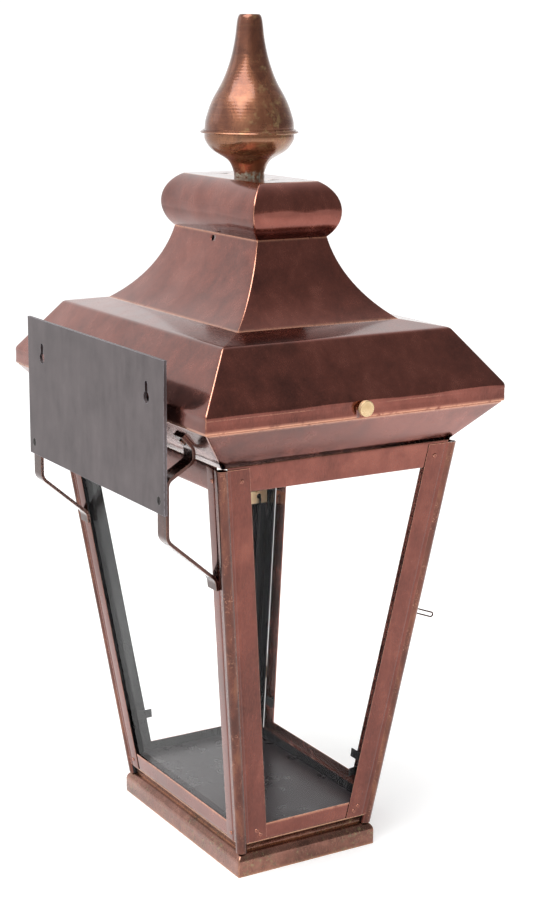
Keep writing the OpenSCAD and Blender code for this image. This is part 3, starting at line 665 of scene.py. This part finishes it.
def bore(o, start, way, radius, drop=0.0):
    """Cuts a round hole through a sheet, with a slot below it if drop is given."""
    turn = Vector((0, 0, 1)).rotation_difference(way).to_matrix().to_4x4()
    bm = bmesh.new()
    bmesh.ops.create_cone(bm, cap_ends=True, segments=32, radius1=radius, radius2=radius,
                          depth=60 * MM, matrix=Matrix.Translation(start) @ turn)
    if drop:
        for v in bm.verts:
            if v.co.z < start.z - 0.1 * radius:
                v.co.z -= drop
    cutter = add_object("cutter", bm, PAINT)
    m = o.modifiers.new("hole", "BOOLEAN")
    m.object, m.operation, m.solver = cutter, "DIFFERENCE", "EXACT"
    graph = bpy.context.evaluated_depsgraph_get()
    mesh = bpy.data.meshes.new_from_object(o.evaluated_get(graph))
    o.modifiers.clear()
    o.data = mesh
    bpy.data.objects.remove(cutter)


for side, label in enumerate(SIDES):
    mitred_sheet(f"crown_{label}", side, COPPER, ridge=1.6 * MM, step=3 * MM,
                 uneven=0.5 * MM, size=35 * MM, at=6 * MM, closed_top=True)
    mitred_sheet(f"roof_{label}", side, COPPER, ridge=1.5 * MM, step=4 * MM,
                 uneven=0.9 * MM, size=70 * MM)
    mitred_sheet(f"hood_{label}", side, COPPER, ridge=1.6 * MM, step=3 * MM,
                 uneven=0.7 * MM, size=90 * MM, hem=0.35 * MM)
    mitred_sheet(f"skirt_{label}", side, COPPER, ridge=2 * MM, step=4 * MM,
                 uneven=0.3 * MM, size=90 * MM)
    mitred_sheet(f"base_{label}", side, COPPER_BASE, ridge=1.6 * MM, step=2.5 * MM,
                 uneven=0.4 * MM, size=50 * MM)


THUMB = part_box("thumb_left")
THUMB_SPOT = (THUMB[0] + THUMB[1]) / 2
for label, way in (("left", -1), ("right", 1)):
    spot = Vector((-way * THUMB_SPOT.x, THUMB_SPOT.y, THUMB_SPOT.z))
    across = Vector((way, 0, 0))
    bore(bpy.data.objects["sheet_skirt_" + label], spot, across, THUMB_R + SKIRT_CLEAR)
    bore(bpy.data.objects["sheet_hood_" + label], spot, across, THUMB_R + HOOD_CLEAR,
         drop=SLOT_DROP)
ROOF_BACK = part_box("roof_back")
bore(bpy.data.objects["sheet_roof_back"],
     Vector((0, ROOF_BACK[0].y, ROOF_BACK[1].z - VENT_DROP)), Vector((0, 1, 0)), VENT_R)


# ---------------------------------------------------------------- posts and rails

def sweep(bm, outline, levels, place, closed_ends=True):
    """A tube through the same closed outline at each level; place gives each point."""
    rows = [[bm.verts.new(place(p, z)) for p in outline] for z in levels]
    n = len(outline)
    for a, b in zip(rows, rows[1:]):
        for i in range(n):
            bm.faces.new((a[i], a[(i + 1) % n], b[(i + 1) % n], b[i]))
    if closed_ends:
        bm.faces.new(rows[0])
        bm.faces.new(rows[-1])
    return rows


def steps(low, high, gap):
    """Even levels from low to high, no further apart than the gap."""
    n = max(1, math.ceil((high - low) / gap))
    return [low + (high - low) * i / n for i in range(n + 1)]


def circle(centre, r, n):
    """A circle of n points, centred as far along as across."""
    return [(centre + r * math.cos(math.tau * i / n), centre + r * math.sin(math.tau * i / n))
            for i in range(n)]


def flange_outline(end):
    """(distance from the corner, depth under the face) round a post's flange: a rolled
    groove beside the bead, then a face that falls away a little to its edge."""
    def sink(s):
        groove = GROOVE_DEEP * math.exp(-((s - GROOVE_AT) / GROOVE_WIDE) ** 2)
        return groove + 0.42 * max(0.0, (s - 14) / (end - 14)) ** 2
    line = [4, 6.5, 8.5, 9.6, 10.2, 10.8, 11.4, 12.0, 12.6, 13.4, 14.6]
    line += [14.6 + (end - 15.4) * i / 5 for i in range(1, 5)] + [end - 0.7, end - 0.25, end]
    face = [(s, sink(s) + (0.12 if s > end - 0.1 else 0)) for s in line]
    return [(s * MM, d * MM) for s, d in face + [(s, sink(s) + 1.2 - 0.1 * (s > end - 0.1))
                                                  for s in reversed(line)]]


def post(node, sx, sy):
    """A corner post: an open tube down the corner, with a flange along each face."""
    low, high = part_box(node)
    foot, inner_x = SILLS[0].z, min(abs(low.x), abs(high.x))
    inner_y = min(abs(low.y - AXIS.y), abs(high.y - AXIS.y))
    ends = ((half_wide(foot) - inner_x) / MM, (half_deep(foot) - inner_y) / MM)
    seed = 3 * sx + 5 * sy
    bm = bmesh.new()

    def at(u, v, z):
        return (sx * (half_wide(z) - u), AXIS.y + sy * (half_deep(z) - v), z)

    def on_bead(p, z):
        swell = 1 + 0.022 * waves((p[0] * 3, p[1] * 3, z), seed, 0.03)
        return at(BEAD_INSET + (p[0] - BEAD_INSET) * swell,
                  BEAD_INSET + (p[1] - BEAD_INSET) * swell, z)

    def on_face(p, z):
        return at(p[0], p[1] + 0.25 * MM * waves((p[0], 0, z), seed, 0.06), z)

    def on_side(p, z):
        return at(p[1] + 0.25 * MM * waves((0, p[0], z), seed + 1, 0.06), p[0], z)

    top, n = SKIRT_FOOT - POST_DROP, BEAD_SIDES
    tube = steps(low.z, top, 7 * MM)
    outer = sweep(bm, circle(BEAD_INSET, BEAD_R, n), tube, on_bead, False)
    inner = sweep(bm, circle(BEAD_INSET, BEAD_R - BEAD_WALL, n), tube, on_bead, False)
    for a, b in ((outer[0], inner[0]), (outer[-1], inner[-1])):
        for i in range(n):
            bm.faces.new((a[i], a[(i + 1) % n], b[(i + 1) % n], b[i]))
    flange = steps(foot, top, 7 * MM)
    sweep(bm, flange_outline(ends[0]), flange, on_face)
    sweep(bm, flange_outline(ends[1]), flange, on_side)
    o = add_object("formed_" + node, bm, COPPER_POST, inner=PAINT)
    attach(o, "lantern")
    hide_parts(node)


def rails(node, worn_and_highlit_top):
    """Four rails behind the posts' flanges, with rolled edges. The bottom rails' tops are
    lighter with wear and a painted highlight; the top rails end behind the skirt."""
    low, high = (v.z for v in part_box(node))
    if not worn_and_highlit_top:
        high = SKIRT_FOOT + RAIL_RISE
    inset = BEAD_INSET + 5.0 * MM
    zs = steps(low + 0.5 * MM, high - 0.5 * MM, 2.5 * MM)
    bm = bmesh.new()
    rub_and_highlight = bm.verts.layers.float.new("rub_and_highlight")
    outline = [(SHEET + 0.25 * MM, low)] + [(SHEET, z) for z in zs]
    outline += [(SHEET + 0.25 * MM, high), (2 * SHEET - 0.2 * MM, high)]
    outline += [(2 * SHEET, z) for z in reversed(zs)] + [(2 * SHEET - 0.2 * MM, low)]
    for side in range(4):
        place = turned(side)
        wide = SPARE if side % 2 == 0 else 0.0

        def at(p, u):
            depth, z = p
            half = half_deep(z) + wide - inset
            bulge = 0.25 * MM * waves((u * half, side, z), 11, 0.05) * (1 - u * u)
            out = half_deep(z) + (SPARE if side % 2 else 0.0) - depth * math.hypot(1, LEAN)
            return place @ Vector((u * half, -(out + bulge), z))

        rows = sweep(bm, outline, steps(-1, 1, 0.05), at)
        # The bottom rails' top edges take rubbed wear and a painted highlight.
        for row in rows:
            for v in row:
                v[rub_and_highlight] = max(0.0, 1 - (high - v.co.z) / (1.6 * MM)) if worn_and_highlit_top else 0.0
    o = add_object("formed_" + node, bm, COPPER_RAIL, inner=PAINT)
    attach(o, "lantern")
    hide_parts(node)


for sx, across in ((1, "right"), (-1, "left")):
    for sy, along in ((-1, "front"), (1, "back")):
        post(f"post_{along}_{across}", sx, sy)
rails("top_rails", False)
rails("bottom_rails", True)


# ---------------------------------------------------------------- turned pieces

def lathe(bm, profile, place, around, shape):
    """Turns (radius, distance along) points round an axis into a closed solid. Shape gives
    each point's own radius, and place its spot from (across, across, along)."""
    rows = []
    for r, h in profile:
        row = []
        for i in range(around):
            a = math.tau * i / around
            own = shape(r, h, a)
            row.append(bm.verts.new(place(own * math.cos(a), own * math.sin(a), h)))
        rows.append(row)
    for a, b in zip(rows, rows[1:]):
        for i in range(around):
            j = (i + 1) % around
            bm.faces.new((a[i], a[j], b[j], b[i]))
    bm.faces.new(rows[0])
    bm.faces.new(rows[-1])


def silhouette(node, gap):
    """The outer (radius, height) line of an upright turned CAD node."""
    data = frame["nodes"][node].data
    at = [(math.hypot(v.co.x - AXIS.x, v.co.y - AXIS.y), v.co.z) for v in data.vertices]
    low, high = min(h for r, h in at), max(h for r, h in at)
    levels = steps(low + 0.02 * MM, high - 0.02 * MM, gap)
    apart = levels[1] - levels[0]
    widest = [0.0] * len(levels)
    for e in data.edges:
        (r0, h0), (r1, h1) = sorted((at[i] for i in e.vertices), key=lambda p: p[1])
        first = max(0, math.ceil((h0 - levels[0]) / apart))
        for k in range(first, len(levels)):
            if levels[k] > h1:
                break
            if h1 > h0:
                r = r0 + (r1 - r0) * (levels[k] - h0) / (h1 - h0)
                widest[k] = max(widest[k], r)
    return [(widest[0], low)] + list(zip(widest[1:-1], levels[1:-1])) + [(widest[-1], high)]


def finial(node, collar=0.0):
    """A spun finial half, with fine turning ridges, and solder round its neck."""
    profile = silhouette(node, 0.6 * MM)
    foot = profile[0][1]

    def shape(r, h, a):
        rough = noise.noise(Vector((4 * math.cos(a), 4 * math.sin(a), h * 260)))
        blob = collar * math.exp(-((h - foot) / (3.2 * MM)) ** 2) * (0.65 + 0.5 * rough)
        ridge = 0.02 * MM * math.sin(h / MM * 2.1)
        return r - 0.1 * MM + ridge + 0.12 * MM * noise.noise(
            Vector((math.cos(a), math.sin(a), h * 30))) + blob

    bm = bmesh.new()
    lathe(bm, profile, lambda x, y, h: (AXIS.x + x, AXIS.y + y, h), 128, shape)
    o = add_object("spun_" + node, bm, BRONZE)
    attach(o, "hood")
    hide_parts(node)


def thumbscrew(node, way):
    """A brass thumbscrew: knurled rim, turned face, plain shank."""
    low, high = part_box(node)
    tip = high.x if way > 0 else low.x
    root = low.x if way > 0 else high.x
    centre = (low + high) / 2
    head, shank = (high.z - low.z) / 2, THUMB_R
    long = abs(tip - root)
    seat = long - 4.4 * MM
    face = [(r * head, long - d * MM) for r, d in (
        (1.0, 0.9), (0.985, 0.45), (0.93, 0.12), (0.86, 0.0), (0.8, 0.16), (0.74, 0.02),
        (0.66, 0.17), (0.6, 0.03), (0.5, 0.2), (0.44, 0.06), (0.34, 0.24), (0.28, 0.1),
        (0.16, 0.22), (0.05, 0.12))]
    profile = [(0.3 * MM, 0.0), (shank - 0.5 * MM, 0.0), (shank, 0.6 * MM), (shank, seat),
               (head - 0.7 * MM, seat), (head - 0.1 * MM, seat + 0.5 * MM)]
    profile += [(head, seat + 0.9 * MM + i * 0.6 * MM) for i in range(4)] + face

    def shape(r, h, a):
        knurl = 0.5 + 0.5 * math.cos(44 * a)
        return r - 0.28 * MM * knurl * (r > head - 0.05 * MM)

    bm = bmesh.new()
    lathe(bm, profile, lambda y, z, h: (root + way * h, centre.y + y, centre.z + z), 176, shape)
    o = add_object("turned_" + node, bm, BRASS, smooth_angle=50)
    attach(o, node)
    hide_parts(node)


finial("finial_top")
finial("finial_bowl", collar=0.9 * MM)
thumbscrew("thumb_left", -1)
thumbscrew("thumb_right", 1)


for n, o in frame["nodes"].items():
    slot = o.data.materials[0].name
    if not o.hide_render:       # a hidden node has a piece that stands for it
        look = COPPER_STRAP if n in DARK_COPPER else SLOT_LOOKS[slot]
        dress(n, look, 0.0 if n in CRISP else SOFT_EDGE)


# ---------------------------------------------------------------- floor, light, camera

SKY_WAY = (0.77, 0.6, -0.05)        # the side of the sky that is bright
SKY = (("From Min", -0.75), ("From Max", 0.3), ("To Min", 0.34), ("To Max", 1.08))
SOFTBOXES = (       # name, place, aim, size in metres, power in watts
    ("softbox_top", (-0.6, 0.9, 2.6), (-0.9, -0.7, FLOOR_Z), 2.6, 95),
    ("softbox_back", (1.9, 1.9, 1.2), (1.2, 1.0, FLOOR_Z), 1.2, 3))
AZIMUTH, ELEVATION, ROLL = 239.03, 12.98, 0.425     # degrees, fitted to the photograph
LENS, CAMERA_SPOT = 71.8, (-1.51585, 0.71674, 0.34503)


def studio():
    """A pale floor, a sky brighter on one side, and two soft lights."""
    floor_mesh = bmesh.new()
    bmesh.ops.create_grid(floor_mesh, x_segments=8, y_segments=8, size=80)
    data = bpy.data.meshes.new("floor")
    floor_mesh.to_mesh(data)
    floor = bpy.data.objects.new("floor", data)
    floor.location = (0, 0, FLOOR_Z)
    data.materials.append(paper("pale_floor"))
    bpy.context.scene.collection.objects.link(floor)

    world = bpy.data.worlds.new("studio")
    bpy.context.scene.world = world
    world.use_nodes = True
    nodes, links = world.node_tree.nodes, world.node_tree.links
    nodes["Background"].inputs["Color"].default_value = (1, 1, 1, 1)
    way = nodes.new("ShaderNodeTexCoord").outputs["Generated"]
    dot = nodes.new("ShaderNodeVectorMath")
    dot.operation = "DOT_PRODUCT"
    dot.inputs[1].default_value = SKY_WAY
    glow = nodes.new("ShaderNodeMapRange")
    glow.interpolation_type = "SMOOTHSTEP"
    for key, v in SKY:
        glow.inputs[key].default_value = v
    links.new(way, dot.inputs[0])
    links.new(dot.outputs["Value"], glow.inputs["Value"])
    links.new(glow.outputs["Result"], nodes["Background"].inputs["Strength"])

    for name, place, aim, size, power in SOFTBOXES:
        light = bpy.data.lights.new(name, "AREA")
        light.shape, light.size, light.energy = "SQUARE", size, power
        lamp = bpy.data.objects.new(name, light)
        lamp.location = place
        lamp.rotation_euler = (Vector(aim) - Vector(place)).to_track_quat("-Z", "Y").to_euler()
        bpy.context.scene.collection.objects.link(lamp)


def camera():
    """A camera that sees the lantern as the photograph does."""
    azimuth, elevation, roll = (math.radians(a) for a in (AZIMUTH, ELEVATION, ROLL))
    back = Vector((math.sin(azimuth) * math.cos(elevation),
                   -math.cos(azimuth) * math.cos(elevation), math.sin(elevation)))
    side = (-back).cross(Vector((0, 0, 1))).normalized()
    top = side.cross(-back)
    right = math.cos(roll) * side + math.sin(roll) * top
    up = math.cos(roll) * top - math.sin(roll) * side
    cam = bpy.data.objects.new("camera", bpy.data.cameras.new("camera"))
    cam.data.sensor_width, cam.data.lens = 36, LENS
    cam.data.clip_start, cam.data.clip_end = 0.05, 60
    place = Matrix((right, up, back)).transposed().to_4x4()
    place.translation = CAMERA_SPOT
    cam.matrix_world = place
    bpy.context.scene.collection.objects.link(cam)
    bpy.context.scene.camera = cam


studio()
camera()
bpy.context.scene.view_settings.view_transform = "Standard"
